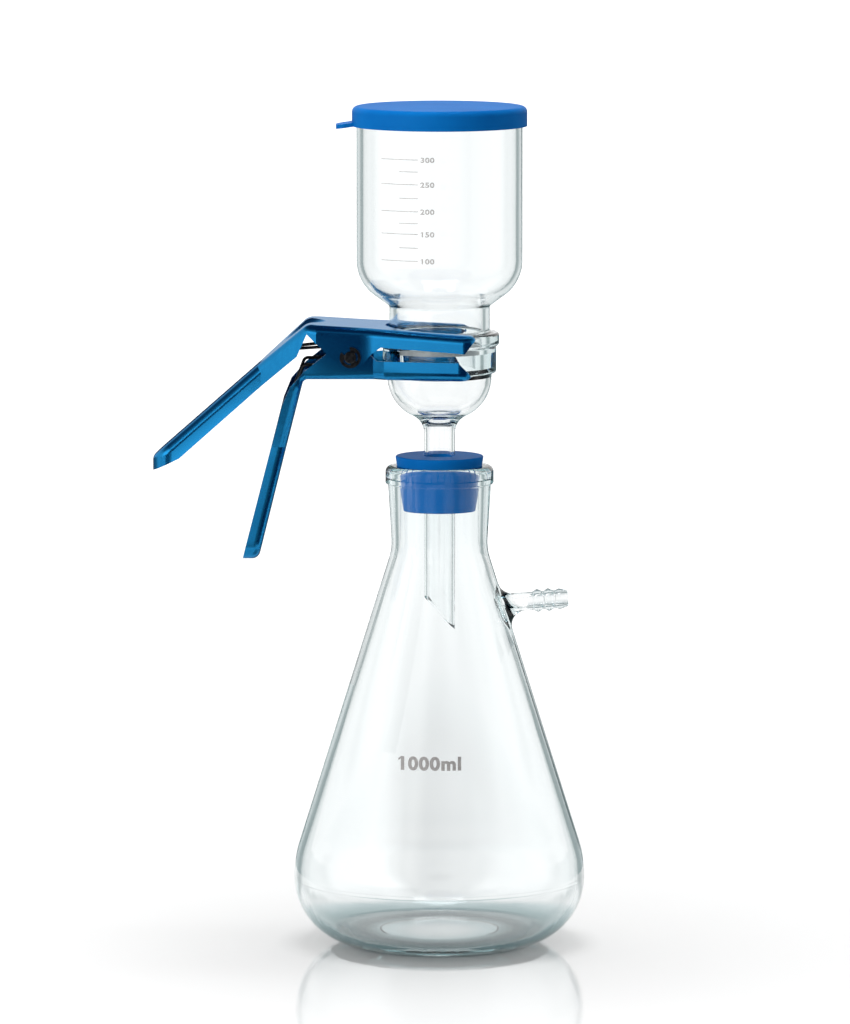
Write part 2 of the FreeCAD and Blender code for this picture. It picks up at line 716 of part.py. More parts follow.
def is_side_wall(face):
    """Whether a face is one of a jaw's side walls: flat and facing sideways, or a rounded corner."""
    if isinstance(face.Surface, Part.Plane):
        return abs(face.Surface.Axis.y) > 0.2
    return isinstance(face.Surface, Part.Cylinder) and abs(face.Surface.Axis.y) < 0.1


def is_skin(face, point, level):
    """Whether a face is the pressed skin of a jaw, facing up for level 1 or down for level -1."""
    if isinstance(face.Surface, Part.Plane):
        across = abs(face.Surface.Axis.y) < 1e-4
    else:
        across = isinstance(face.Surface, Part.Cylinder) and abs(face.Surface.Axis.y) > 0.9
    return across and face.normalAt(*face.Surface.parameter(point)).z * level > 0.2


def skin_edges(shape, level):
    """Names of the edges where a jaw's pressed skin turns into its side walls."""
    owners = {}
    for face in shape.Faces:
        for edge in face.Edges:
            owners.setdefault(edge.hashCode(), []).append(face)
    names = []
    for index, edge in enumerate(shape.Edges, start=1):
        faces = owners[edge.hashCode()]
        if len(faces) != 2:
            continue
        middle = edge.valueAt((edge.FirstParameter + edge.LastParameter) / 2)
        for skin, wall in (faces, faces[::-1]):
            if is_side_wall(wall) and is_skin(skin, middle, level):
                names.append("Edge%d" % index)
                break
    return names


def rounded_tip(arm_half_width, inset):
    """Where a tip's round ends: its centre's distance from the middle plane, and how far behind
    the centre and how far out it meets the arm's splayed side."""
    radius = "(jaw_tip_round - (%s))" % inset
    center = "%s - (%s) - %s / splay_run" % (arm_half_width, inset, radius)
    return center, "%s * arm_splay * splay_run" % radius, "%s + %s * splay_run" % (center, radius)


def press_dish(body, name, inset):
    """Press a stiffening dish into the bend: a straight trough that runs out before and behind it."""
    sketch = new_sketch(body, name + "Round", "YZ_Plane")
    tilt = FreeCAD.Rotation(FreeCAD.Vector(-1, 0, 0), number("dish_tilt"))
    sketch.AttachmentOffset = FreeCAD.Placement(FreeCAD.Vector(), tilt)
    sketch.setExpression("AttachmentOffset.Rotation.Angle", bound("dish_tilt"))
    sketch.setExpression("AttachmentOffset.Base.y", bound("upper_bend_level"))
    sketch.setExpression("AttachmentOffset.Base.z", bound("-upper_bend"))
    circle(sketch, "0", "dish_radius - dish_depth", "dish_radius + (%s)" % inset)
    cut_through(body, name, sketch)


def upper_block(name, inset):
    """The upper jaw's outer form, or the hollow that lies inset below its skin."""
    body = new_body(name)
    skin = [
        ("upper_tip + 4", upper_top("upper_tip + 4", inset)),
        ("-upper_turn_reach + (handle_bend_round - (%s)) * sin(upper_tilt)" % inset,
         "upper_turn_level + (handle_bend_round - (%s)) * cos(upper_tilt)" % inset,
         "-upper_turn_reach", "upper_turn_level", "x"),
        ("-upper_turn_reach - (handle_bend_round - (%s)) * upper_fall" % inset,
         "upper_turn_level + (handle_bend_round - (%s)) * upper_run" % inset),
        upper_handle("upper_handle_length + 8", inset),
    ]
    if inset == "0":
        rest = [
            upper_handle("upper_handle_length + 8", "upper_handle_tip_depth - 1"),
            upper_handle("upper_handle_length - 9", "upper_handle_depth"),
            upper_handle("14", "upper_handle_depth - 0.4"),
            ("-upper_bend - 0.4", "upper_bend_level - 4.6"),
            ("-pivot_reach - 4.4", "pivot_level - 4.6"),
            ("-pivot_reach - 2.2", "pivot_level - 5.8"),
            ("-pivot_reach + 2.2", "pivot_level - 5.8"),
            ("-pivot_reach + 4.8", "pivot_level - 4.6"),
            ("-pivot_reach + 9.8", "pivot_level + 1.6"),
            ("-pivot_reach + 14.2", upper_top("14.2 - pivot_reach") + " - upper_lip"),
            ("upper_tip - 5", upper_top("upper_tip - 5") + " - upper_lip"),
            ("upper_tip - 2", upper_top("upper_tip - 2") + " - upper_lip / 2"),
            ("upper_tip", upper_top("upper_tip", "jaw_sheet + 0.5")),
            ("upper_tip + 4", upper_top("upper_tip + 4", "jaw_sheet + 0.5")),
        ]
    else:
        rest = [
            upper_handle("upper_handle_length + 8", "upper_handle_depth * 4"),
            ("-pivot_reach", "pivot_level - jaw_half_width * 2"),
            ("upper_tip + 4", "pivot_level - jaw_half_width"),
        ]
    pad_across(body, name + "Block", skin + rest, "2 * jaw_arm_half_width + 10")
    frame = [
        ("-upper_handle_end - 40", "-2 * jaw_arm_half_width"),
        ("upper_tip + 40", "-2 * jaw_arm_half_width"),
        ("upper_tip + 40", "2 * jaw_arm_half_width"),
        ("-upper_handle_end - 40", "2 * jaw_arm_half_width"),
    ]
    waist_front = "-jaw_waist + waist_tangent * splay_run"
    waist_half_width = "jaw_half_width - (%s) + waist_tangent * splay_run * arm_splay" % inset
    waist_center = "jaw_half_width - (%s) + jaw_waist_round" % inset
    tip_center, tip_back, tip_half_width = rounded_tip("jaw_arm_half_width", inset)
    end = "-upper_handle_end + handle_half_width"
    trim_plan(body, name + "Trim", "XY_Plane", frame, [
        ("upper_tip - (%s)" % inset, "-(%s)" % tip_center),
        ("upper_tip - (%s)" % inset, tip_center, "upper_tip - jaw_tip_round", tip_center, "y"),
        ("upper_tip - jaw_tip_round - " + tip_back, tip_half_width),
        (waist_front, waist_half_width, "-jaw_waist - waist_tangent", waist_center, "y"),
        ("-jaw_waist - waist_tangent", "jaw_half_width - (%s)" % inset),
        ("-upper_taper_start", "jaw_half_width - (%s)" % inset),
        ("-upper_taper_start - handle_taper", "handle_half_width - (%s)" % inset),
        (end, "handle_half_width - (%s)" % inset, end, "0", "y"),
        (end, "-handle_half_width + (%s)" % inset),
        ("-upper_taper_start - handle_taper", "-handle_half_width + (%s)" % inset),
        ("-upper_taper_start", "-jaw_half_width + (%s)" % inset),
        ("-jaw_waist - waist_tangent", "-jaw_half_width + (%s)" % inset,
         "-jaw_waist - waist_tangent", "-(%s)" % waist_center, "y"),
        (waist_front, "-(%s)" % waist_half_width),
        ("upper_tip - jaw_tip_round - " + tip_back, "-(%s)" % tip_half_width,
         "upper_tip - jaw_tip_round", "-(%s)" % tip_center, "x"),
    ])
    round_edges(body, name + "Bends", skin_edges(body.Shape, 1), "jaw_bend_round - (%s)" % inset)
    press_dish(body, name + "Dish", inset)
    return body


def cut_slot(body, name, tip):
    """Open a jaw's plate between its arms, round at the back and straight to the tips."""
    sketch = new_sketch(body, name + "Plan", "XY_Plane")
    outline(sketch, [
        (tip + " + 20", "-jaw_slot_radius"),
        (tip + " + 20", "jaw_slot_radius"),
        ("0", "jaw_slot_radius", "0", "0", "y"),
        ("0", "-jaw_slot_radius"),
    ])
    cut_through(body, name, sketch)


def cut_pivot(body, name):
    """Pierce both cheeks of a jaw for the pin."""
    sketch = new_sketch(body, name + "Side", "XZ_Plane")
    circle(sketch, "-pivot_reach", "pivot_level", "pivot_radius + pivot_fit")
    cut_through(body, name, sketch)


def press_jaw(label, form, hollow):
    """The stamped jaw: its outer form less the hollow inside."""
    jaw = doc.addObject("Part::Cut", label)
    jaw.Label = label
    jaw.Base = form
    jaw.Tool = hollow
    doc.recompute()
    return jaw


upper_form = upper_block("UpperForm", "0")
cut_slot(upper_form, "UpperSlot", "upper_tip")
cut_pivot(upper_form, "UpperPivot")
upper_hollow = upper_block("UpperHollow", "jaw_sheet")
upper_jaw = press_jaw("upper_jaw", upper_form, upper_hollow)


def lower_block(name, inset):
    """The lower jaw's outer form, or the hollow that lies inset inside its skin."""
    body = new_body(name)
    skin = [
        ("lower_tip + 4", "lower_level + (%s)" % inset),
        ("-lower_bend + lower_tangent", "lower_level + (%s)" % inset,
         "-lower_bend + lower_tangent", "lower_level - lower_turn_round", "x"),
        ("-lower_bend + lower_tangent - (lower_turn_round + (%s)) * lower_fall" % inset,
         "lower_level - lower_turn_round + (lower_turn_round + (%s)) * lower_run" % inset),
        lower_handle("lower_handle_length + 8", inset),
    ]
    if inset == "0":
        rest = [
            lower_handle("lower_handle_length + 8", "lower_handle_depth"),
            lower_handle("14", "lower_handle_depth - 0.6"),
            lower_handle("5", "lower_handle_depth - 2"),
            ("-lower_bend + 0.6", "lower_level + 4.2"),
            ("-pivot_reach - 5.4", "pivot_level + 6"),
            ("-pivot_reach + 3.4", "pivot_level + 6"),
            ("-pivot_reach + 9.4", "pivot_level + 1"),
            ("-pivot_reach + 12.2", "lower_level + lower_lip"),
            ("lower_tip - 6", "lower_level + lower_lip"),
            ("lower_tip - 1.8", "lower_level + lower_lip - 4.4"),
            ("lower_tip", "lower_level + jaw_sheet + 0.5"),
            ("lower_tip + 4", "lower_level + jaw_sheet + 0.5"),
        ]
    else:
        rest = [
            lower_handle("lower_handle_length + 8", "lower_handle_depth * 4"),
            ("-lower_bend - lower_handle_depth * 4", "pivot_level + jaw_half_width"),
            ("lower_tip + 4", "pivot_level + jaw_half_width"),
        ]
    pad_across(body, name + "Block", skin + rest, "2 * jaw_arm_half_width + 10")
    reach = "-lower_bend - lower_handle_length - 20"
    frame = [
        (reach + " - 20", "-2 * jaw_arm_half_width"),
        ("lower_tip + 40", "-2 * jaw_arm_half_width"),
        ("lower_tip + 40", "2 * jaw_arm_half_width"),
        (reach + " - 20", "2 * jaw_arm_half_width"),
    ]
    flare = "jaw_half_width + (jaw_waist - lower_waist + lower_flare) * arm_splay - (%s)" % inset
    tip_center, tip_back, tip_half_width = rounded_tip("lower_arm_half_width", inset)
    trim_plan(body, name + "Trim", "XY_Plane", frame, [
        ("lower_tip - (%s)" % inset, "-(%s)" % tip_center),
        ("lower_tip - (%s)" % inset, tip_center, "lower_tip - jaw_tip_round", tip_center, "y"),
        ("lower_tip - jaw_tip_round - " + tip_back, tip_half_width),
        ("-lower_waist + lower_flare", flare),
        ("-lower_waist", "lower_half_width - (%s)" % inset),
        (reach, "lower_half_width - (%s)" % inset),
        (reach, "-lower_half_width + (%s)" % inset),
        ("-lower_waist", "-lower_half_width + (%s)" % inset),
        ("-lower_waist + lower_flare", "-(%s)" % flare),
        ("lower_tip - jaw_tip_round - " + tip_back, "-(%s)" % tip_half_width,
         "lower_tip - jaw_tip_round", "-(%s)" % tip_center, "x"),
    ])
    low = "lower_handle_end - 40"
    high = "pivot_level + jaw_arm_half_width"
    frame = [
        ("-2 * jaw_arm_half_width", low),
        ("2 * jaw_arm_half_width", low),
        ("2 * jaw_arm_half_width", high + " + 20"),
        ("-2 * jaw_arm_half_width", high + " + 20"),
    ]
    end = "lower_handle_end + handle_half_width"
    neck = "lower_taper_level - lower_taper + (%s) * tan(lower_taper_angle / 2)" % inset
    center = "lower_half_width - lower_taper_round"
    arc_half_width = center + " + (lower_taper_round - (%s)) * cos(lower_taper_angle)" % inset
    arc_level = "lower_taper_top - (lower_taper_round - (%s)) * sin(lower_taper_angle)" % inset
    trim_plan(body, name + "Handle", "YZ_Plane", frame, [
        ("jaw_arm_half_width + 8", high),
        ("-jaw_arm_half_width - 8", high),
        ("-jaw_arm_half_width - 8", "lower_taper_top"),
        ("-lower_half_width + (%s)" % inset, "lower_taper_top", "-(%s)" % center, "lower_taper_top", "x"),
        ("-(%s)" % arc_half_width, arc_level),
        ("-handle_half_width + (%s)" % inset, neck),
        ("-handle_half_width + (%s)" % inset, end, "0", end, "x"),
        ("handle_half_width - (%s)" % inset, end),
        ("handle_half_width - (%s)" % inset, neck),
        (arc_half_width, arc_level, center, "lower_taper_top", "x"),
        ("lower_half_width - (%s)" % inset, "lower_taper_top"),
        ("jaw_arm_half_width + 8", "lower_taper_top"),
    ])
    round_edges(body, name + "Bends", skin_edges(body.Shape, -1), "jaw_bend_round - (%s)" % inset)
    return body


lower_form = lower_block("LowerForm", "0")
cut_slot(lower_form, "LowerSlot", "lower_tip")
cut_pivot(lower_form, "LowerPivot")
lower_hollow = lower_block("LowerHollow", "jaw_sheet")
lower_jaw = press_jaw("lower_jaw", lower_form, lower_hollow)

# ---------------------------------------------------------------- pivot pin and its clips
pin = new_body("pivot_pin")
pin_sketch = new_sketch(pin, "PinProfile", "XY_Plane")
pin_sketch.setExpression("AttachmentOffset.Base.x", bound("-pivot_reach"))
pin_sketch.setExpression("AttachmentOffset.Base.z", bound("pivot_level"))
outline(pin_sketch, [
    ("0", "-pivot_half_length"),
    ("pivot_radius - pin_chamfer", "-pivot_half_length"),
    ("pivot_radius", "-pivot_half_length + pin_chamfer"),
    ("pivot_radius", "-groove_far"),
    ("clip_groove_radius", "-groove_far"),
    ("clip_groove_radius", "-groove_near"),
    ("pivot_radius", "-groove_near"),
    ("pivot_radius", "groove_near"),
    ("clip_groove_radius", "groove_near"),
    ("clip_groove_radius", "groove_far"),
    ("pivot_radius", "groove_far"),
    ("pivot_radius", "pivot_half_length - pin_chamfer"),
    ("pivot_radius - pin_chamfer", "pivot_half_length"),
    ("0", "pivot_half_length"),
])
pin_form = pin.newObject("PartDesign::Revolution", "PinForm")
pin_form.Profile = pin_sketch
pin_form.ReferenceAxis = (pin_sketch, ["V_Axis"])
pin_form.Angle = 360
doc.recompute()


def polar(radius, degrees):
    """A corner of the clip's outline, from its distance and direction about the pin."""
    return "%s * cos(%s)" % (radius, degrees), "%s * sin(%s)" % (radius, degrees)


def spring_clip(label, level):
    """A retaining clip with three prongs that reach into the pin's groove."""
    body = new_body(label)
    sketch = new_sketch(body, label + "_outline", "XZ_Plane")
    sketch.setExpression("AttachmentOffset.Base.x", bound("-pivot_reach"))
    sketch.setExpression("AttachmentOffset.Base.y", bound("pivot_level"))
    sketch.setExpression("AttachmentOffset.Base.z", bound(level))
    sketch.setExpression("AttachmentOffset.Rotation.Angle", bound("clip_turn"))
    outline(sketch, [
        polar("clip_radius", "118") + ("0", "0", "y"),
        ("0", "-clip_radius", "0", "0", "x"),
        polar("clip_radius", "62"),
        polar("clip_throat", "52"),
        polar("clip_throat", "14"),
        polar("clip_hollow", "8") + ("0", "0", "x"),
        polar("clip_hollow", "-62"),
        polar("clip_throat", "-68"),
        polar("clip_throat", "-112"),
        polar("clip_hollow", "-118") + ("0", "0", "x"),
        polar("clip_hollow", "-188"),
        polar("clip_throat", "-194"),
        polar("clip_throat", "-232"),
    ])
    pad = body.newObject("PartDesign::Pad", label + "_sheet")
    pad.Profile = sketch
    pad.setExpression("Length", bound("clip_sheet"))
    doc.recompute()
    return body


clip_front = spring_clip("retaining_clip_front", "groove_near + clip_gap / 2")
clip_back = spring_clip("retaining_clip_back", "-groove_near - clip_gap / 2 - clip_sheet")


# ---------------------------------------------------------------- torsion spring
def bent_wire(points, bend, radius):
    """A round wire along straight runs that are joined by tangent arcs."""
    edges = []
    start = points[0]
    for before, corner, after in zip(points, points[1:], points[2:]):
        back = (before - corner).normalize()
        ahead = (after - corner).normalize()
        half = math.acos(max(-1.0, min(1.0, back.dot(ahead)))) / 2
        reach = bend / math.tan(half)
        limit = 0.45 * min((before - corner).Length, (after - corner).Length)
        reach = min(reach, limit)
        first = corner + back * reach
        last = corner + ahead * reach
        toward = (back + ahead).normalize()
        center = corner + toward * (reach / math.cos(half))
        middle = center - toward * (reach * math.tan(half))
        edges.append(Part.LineSegment(start, first).toShape())
        edges.append(Part.Arc(first, middle, last).toShape())
        start = last
    edges.append(Part.LineSegment(start, points[-1]).toShape())
    path = Part.Wire(edges)
    section = Part.Wire([Part.Circle(points[0], points[1] - points[0], radius).toShape()])
    return path.makePipeShell([section], True, False, 0)


def mirrored(points):
    """The same points on the other side of the unit's middle plane."""
    return [FreeCAD.Vector(p.x, -p.y, p.z) for p in points]


def coil_path(axis, outer, half_turns):
    """Half circles, each in a slightly leaning plane, that climb from the coil's lowest point."""
    climb = number("coil_pitch") / 4
    radius = number("coil_radius")
    reach = math.hypot(radius, climb)
    edges = []
    for count in range(half_turns):
        updown = -1 if count % 2 == 0 else 1
        level = outer - 2 * climb * count
        first = axis + FreeCAD.Vector(0, level, updown * radius)
        middle = axis + FreeCAD.Vector(-updown * reach, level - climb, 0)
        last = axis + FreeCAD.Vector(0, level - 2 * climb, -updown * radius)
        edges.append(Part.Arc(first, middle, last).toShape())
    return edges, last


def spring_shape():
    """Two coils on the pin, two legs under the upper handle and a loop in the lower handle."""
    wire = number("wire_radius")
    outer = number("coil_outer")
    tilt = math.radians(number("leg_tilt"))
    axis = FreeCAD.Vector(-number("pivot_reach"), 0, number("pivot_level"))
    edges, top = coil_path(axis, outer, int(2 * number("coil_turns")) - 1)
    start = edges[0].valueAt(edges[0].FirstParameter)
    section = Part.Wire([Part.Circle(start, FreeCAD.Vector(1, 0, 0), wire).toShape()])
    coil = Part.Wire(edges).makePipeShell([section], True, False)
    knee = top - FreeCAD.Vector(number("leg_knee"), 0, 0)
    reach = number("leg_reach")
    tip = FreeCAD.Vector(knee.x - reach, number("leg_half_gap"), knee.z - reach * math.tan(tilt))
    leg = bent_wire([top, knee, tip], number("leg_bend"), wire)

    root = FreeCAD.Vector(-number("lower_bend"), 0, number("lower_level"))
    down = FreeCAD.Vector(-number("lower_run"), 0, -number("lower_fall"))
    inward = FreeCAD.Vector(-number("lower_fall"), 0, number("lower_run"))
    seat = number("jaw_sheet + spring_seat + wire_radius")

    def inside(along, half_width, lift):
        """A point of the wire beside the inner face of the lower handle."""
        spot = root + down * along + inward * (seat + lift)
        return FreeCAD.Vector(spot.x, half_width, spot.z)

    depth = number("loop_depth")
    width = number("loop_half_width")
    corner = FreeCAD.Vector(root.x, start.y, start.z)
    half = [start, corner]
    half.append(inside(number("loop_knee"), outer - number("loop_taper") / 3, number("loop_lift")))
    half.append(inside(depth, width, 0))
    loop = bent_wire(half + list(reversed(mirrored(half))), number("spring_bend"), wire)
    pieces = [coil, leg]
    others = [piece.mirror(FreeCAD.Vector(0, 0, 0), FreeCAD.Vector(0, 1, 0)) for piece in pieces]
    return loop.fuse(pieces + others)


spring = doc.addObject("Part::Feature", "torsion_spring")
spring.Label = "torsion_spring"
spring.Shape = spring_shape()
spring.Placement = FreeCAD.Placement()

# ---------------------------------------------------------------- check and write
PIECES = [flask, stopper, base, frit, funnel, lid, upper_jaw, lower_jaw, pin, clip_front, clip_back, spring]
doc.recompute()
for item in doc.Objects:
    if "Invalid" in item.State or "Error" in item.State:
        raise RuntimeError("%s did not build: %s" % (item.Name, item.State))
for piece in PIECES:
    if piece.Shape.isNull() or not piece.Shape.isValid() or len(piece.Shape.Solids) != 1:
        raise RuntimeError("%s is not one valid solid" % piece.Label)
os.makedirs("parts", exist_ok=True)
for piece in PIECES:
    piece.Shape.exportStep("parts/%s.step" % piece.Label)
    print(piece.Label, round(piece.Shape.Volume, 1))
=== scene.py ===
import json
import math

import bpy
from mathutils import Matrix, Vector


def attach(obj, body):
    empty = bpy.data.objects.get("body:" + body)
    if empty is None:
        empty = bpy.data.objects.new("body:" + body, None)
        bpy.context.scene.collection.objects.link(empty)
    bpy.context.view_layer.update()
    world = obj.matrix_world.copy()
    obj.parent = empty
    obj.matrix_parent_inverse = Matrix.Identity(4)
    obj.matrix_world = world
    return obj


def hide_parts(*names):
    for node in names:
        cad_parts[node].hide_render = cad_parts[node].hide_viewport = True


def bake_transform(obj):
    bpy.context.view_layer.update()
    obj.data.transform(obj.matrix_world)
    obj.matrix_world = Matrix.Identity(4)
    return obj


# Vacuum filtration unit: finishes for the CAD pieces, the printed scale and volume mark, the
# clamp's spring as wire pieces, and a plain studio. Scene units are metres.

MM = 0.001

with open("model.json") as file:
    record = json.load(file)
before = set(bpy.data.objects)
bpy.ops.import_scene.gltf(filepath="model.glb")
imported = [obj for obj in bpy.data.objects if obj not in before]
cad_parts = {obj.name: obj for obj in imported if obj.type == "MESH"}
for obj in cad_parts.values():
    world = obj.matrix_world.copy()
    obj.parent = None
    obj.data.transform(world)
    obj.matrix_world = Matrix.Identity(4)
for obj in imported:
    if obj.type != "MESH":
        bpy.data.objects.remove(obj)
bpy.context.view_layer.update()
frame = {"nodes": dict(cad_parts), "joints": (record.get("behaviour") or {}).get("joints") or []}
nodes = frame["nodes"]
scene = bpy.context.scene
scene.view_settings.view_transform = "Standard"
scene.cycles.max_bounces = 32
scene.cycles.transmission_bounces = 32
scene.cycles.glossy_bounces = 16


# ---------------------------------------------------------------- camera
CAMERA_DISTANCE = 3.5
CAMERA_ELEVATION = math.radians(7.0)
CAMERA_TARGET = Vector((-6.8, 0, 204.5)) * MM
VIEW_HEIGHT = 481.0 * MM


def make_camera():
    """A long lens that looks a little down on the unit's side."""
    data = bpy.data.cameras.new("camera")
    data.sensor_width = 36.0
    data.lens = data.sensor_width * CAMERA_DISTANCE / VIEW_HEIGHT
    data.clip_end = 100.0
    camera = bpy.data.objects.new("camera", data)
    scene.collection.objects.link(camera)
    back = Vector((0, -math.cos(CAMERA_ELEVATION), math.sin(CAMERA_ELEVATION)))
    camera.location = CAMERA_TARGET + back * CAMERA_DISTANCE
    camera.rotation_euler = (-back).to_track_quat("-Z", "Y").to_euler()
    scene.camera = camera


make_camera()


# ---------------------------------------------------------------- shader helpers
def new_material(name):
    """A material with its Principled shader."""
    material = bpy.data.materials.new(name)
    material.use_nodes = True
    tree = material.node_tree
    return material, tree, tree.nodes["Principled BSDF"]


def ramp(tree, factor, stops):
    """A colour ramp over a factor, from (position, colour) stops."""
    node = tree.nodes.new("ShaderNodeValToRGB")
    elements = node.color_ramp.elements
    while len(elements) < len(stops):
        elements.new(0.5)
    for element, (position, color) in zip(elements, stops):
        element.position = position
        element.color = (*color, 1.0)
    tree.links.new(factor, node.inputs["Fac"])
    return node.outputs["Color"]


def noise(tree, scale, detail=3.0, stretch=(1, 1, 1)):
    """Noise over object coordinates, in metres, stretched along the axes."""
    where = tree.nodes.new("ShaderNodeTexCoord")
    mapping = tree.nodes.new("ShaderNodeMapping")
    mapping.inputs["Scale"].default_value = stretch
    texture = tree.nodes.new("ShaderNodeTexNoise")
    texture.inputs["Scale"].default_value = scale
    texture.inputs["Detail"].default_value = detail
    tree.links.new(where.outputs["Object"], mapping.inputs["Vector"])
    tree.links.new(mapping.outputs["Vector"], texture.inputs["Vector"])
    return texture.outputs["Fac"]


def bump(tree, shader, height, distance, strength=1.0):
    """Bump from a height socket, its distance in metres."""
    node = tree.nodes.new("ShaderNodeBump")
    node.inputs["Strength"].default_value = strength
    node.inputs["Distance"].default_value = distance
    tree.links.new(height, node.inputs["Height"])
    tree.links.new(node.outputs["Normal"], shader.inputs["Normal"])


def map_range(tree, value, start, end, low=0.0, high=1.0, smooth=False):
    """Map a value from start to end onto low to high, and hold it there beyond them."""
    node = tree.nodes.new("ShaderNodeMapRange")
    if smooth:
        node.interpolation_type = "SMOOTHSTEP"
    settings = {"From Min": start, "From Max": end, "To Min": low, "To Max": high}
    for name, setting in settings.items():
        node.inputs[name].default_value = setting
    tree.links.new(value, node.inputs["Value"])
    return node.outputs["Result"]


def spread(tree, factor, low, high):
    """Map a factor of 0 to 1 onto low to high."""
    return map_range(tree, factor, 0.0, 1.0, low, high)


def math_node(tree, operation, first, second=0.0):
    """A maths node; each input is a socket or a number, and the second may be left out."""
    node = tree.nodes.new("ShaderNodeMath")
    node.operation = operation
    for socket, value in zip(node.inputs, (first, second)):
        if isinstance(value, (int, float)):
            socket.default_value = value
        else:
            tree.links.new(value, socket)
    return node.outputs["Value"]


# ---------------------------------------------------------------- materials
def clear_glass():
    """Polished borosilicate glass, blue-green where light goes far through it."""
    material, tree, shader = new_material("clear_glass")
    shader.inputs["Base Color"].default_value = (1, 1, 1, 1)
    shader.inputs["Roughness"].default_value = 0.0
    shader.inputs["IOR"].default_value = 1.47
    shader.inputs["Transmission Weight"].default_value = 1.0
    bump(tree, shader, noise(tree, 22.0, 1.0), 0.25 * MM, 0.25)
    absorb = tree.nodes.new("ShaderNodeVolumeAbsorption")
    absorb.inputs["Color"].default_value = (0.375, 0.65, 0.675, 1)
    absorb.inputs["Density"].default_value = 20.0
    tree.links.new(absorb.outputs["Volume"], tree.nodes["Material Output"].inputs["Volume"])
    return material


def sintered_glass():
    """White-grey sintered glass, matt and grainy."""
    material, tree, shader = new_material("sintered_glass")
    grain = noise(tree, 2600.0, 4.0)
    tone = ramp(tree, grain, [(0.3, (0.34, 0.36, 0.37)), (0.7, (0.56, 0.58, 0.59))])
    tree.links.new(tone, shader.inputs["Base Color"])
    shader.inputs["Roughness"].default_value = 0.75
    bump(tree, shader, grain, 0.15 * MM)
    return material


def blue_silicone():
    """Opaque royal blue silicone rubber with a satin skin."""
    material, tree, shader = new_material("blue_silicone")
    clouds = noise(tree, 45.0, 4.0)
    tone = ramp(tree, clouds, [(0.3, (0.002, 0.130, 0.45)), (0.7, (0.003, 0.160, 0.52))])
    tree.links.new(tone, shader.inputs["Base Color"])
    skin = noise(tree, 3200.0, 2.0)
    tree.links.new(spread(tree, skin, 0.36, 0.5), shader.inputs["Roughness"])
    shader.inputs["Specular IOR Level"].default_value = 0.02
    bump(tree, shader, skin, 0.02 * MM)
    return material


def blue_anodised():
    """Bright blue anodised sheet: dyed oxide over rolled aluminium."""
    material, tree, shader = new_material("blue_anodised_aluminium")
    grain = noise(tree, 260.0, 5.0, (0.12, 3.0, 0.5))
    tone = ramp(tree, grain, [(0.25, (0.006, 0.205, 0.48)), (0.75, (0.010, 0.250, 0.56))])
    tree.links.new(tone, shader.inputs["Base Color"])
    shader.inputs["Metallic"].default_value = 1.0
    shader.inputs["Specular Tint"].default_value = (0.58, 0.74, 0.88, 1)
    tree.links.new(spread(tree, grain, 0.20, 0.30), shader.inputs["Roughness"])
    shader.inputs["Coat Weight"].default_value = 0.15
    shader.inputs["Coat Roughness"].default_value = 0.2
    bump(tree, shader, grain, 0.006 * MM, 0.4)
    return material


def black_steel():
    """Blackened, lightly oiled spring steel."""
    material, tree, shader = new_material("black_steel")
    patches = noise(tree, 900.0, 4.0)
    tone = ramp(tree, patches, [(0.35, (0.012, 0.012, 0.013)), (0.75, (0.045, 0.043, 0.042))])
    tree.links.new(tone, shader.inputs["Base Color"])
    shader.inputs["Metallic"].default_value = 0.75
    tree.links.new(spread(tree, patches, 0.24, 0.42), shader.inputs["Roughness"])
    bump(tree, shader, patches, 0.02 * MM, 0.5)
    return material


def enamel(name, grey):
    """Fired-on warm grey enamel, lighter where it is thin."""
    material, tree, shader = new_material(name)
    wear = noise(tree, 1500.0, 3.0)
    thin = grey * 1.25
    tone = ramp(tree, wear, [(0.3, (grey, grey * 0.96, grey * 0.94)),
                             (0.7, (thin, thin * 0.97, thin * 0.95))])
    tree.links.new(tone, shader.inputs["Base Color"])
    shader.inputs["Roughness"].default_value = 0.6
    bump(tree, shader, wear, 0.02 * MM, 0.5)
    return material


GLASS = clear_glass()
FRIT = sintered_glass()
SILICONE = blue_silicone()
ANODISED = blue_anodised()
STEEL = black_steel()
SCALE_PRINT = enamel("scale_enamel", 0.50)
MARK_PRINT = enamel("mark_enamel", 0.33)

FINISH = {
    "filter_flask": GLASS,
    "support_base": GLASS,
    "funnel": GLASS,
    "frit_disc": FRIT,
    "stopper": SILICONE,
    "lid": SILICONE,
    "upper_jaw": ANODISED,
    "lower_jaw": ANODISED,
    "pivot_pin": STEEL,
    "retaining_clip_front": STEEL,
    "retaining_clip_back": STEEL,
    "torsion_spring": STEEL,
}
for node_name, finish in FINISH.items():
    node = nodes[node_name]
    node.data.materials.clear()
    node.data.materials.append(finish)


# ---------------------------------------------------------------- print on the glass
PRINT_LIFT = 0.06 * MM
CUP_RADIUS = 38.8 * MM
CONE_FOOT_RADIUS = 68.4 * MM
CONE_FOOT_LEVEL = 40.2 * MM
CONE_TOP_RADIUS = 22.3 * MM
CONE_TOP_LEVEL = 187.4 * MM
CONE_LEAN = (CONE_FOOT_RADIUS - CONE_TOP_RADIUS) / (CONE_TOP_LEVEL - CONE_FOOT_LEVEL)


def on_cup(along, level):
    """A point on the cup's outer face, from a distance round it and a height."""
    radius = CUP_RADIUS + PRINT_LIFT
    angle = along / CUP_RADIUS
    return Vector((radius * math.sin(angle), -radius * math.cos(angle), level))


def on_cone(along, level):
    """A point on the flask's cone, from a distance round it and a height."""
    radius = CONE_FOOT_RADIUS - (level - CONE_FOOT_LEVEL) * CONE_LEAN
    angle = along / radius
    radius += PRINT_LIFT * math.hypot(1, CONE_LEAN)
    return Vector((radius * math.sin(angle), -radius * math.cos(angle), level))


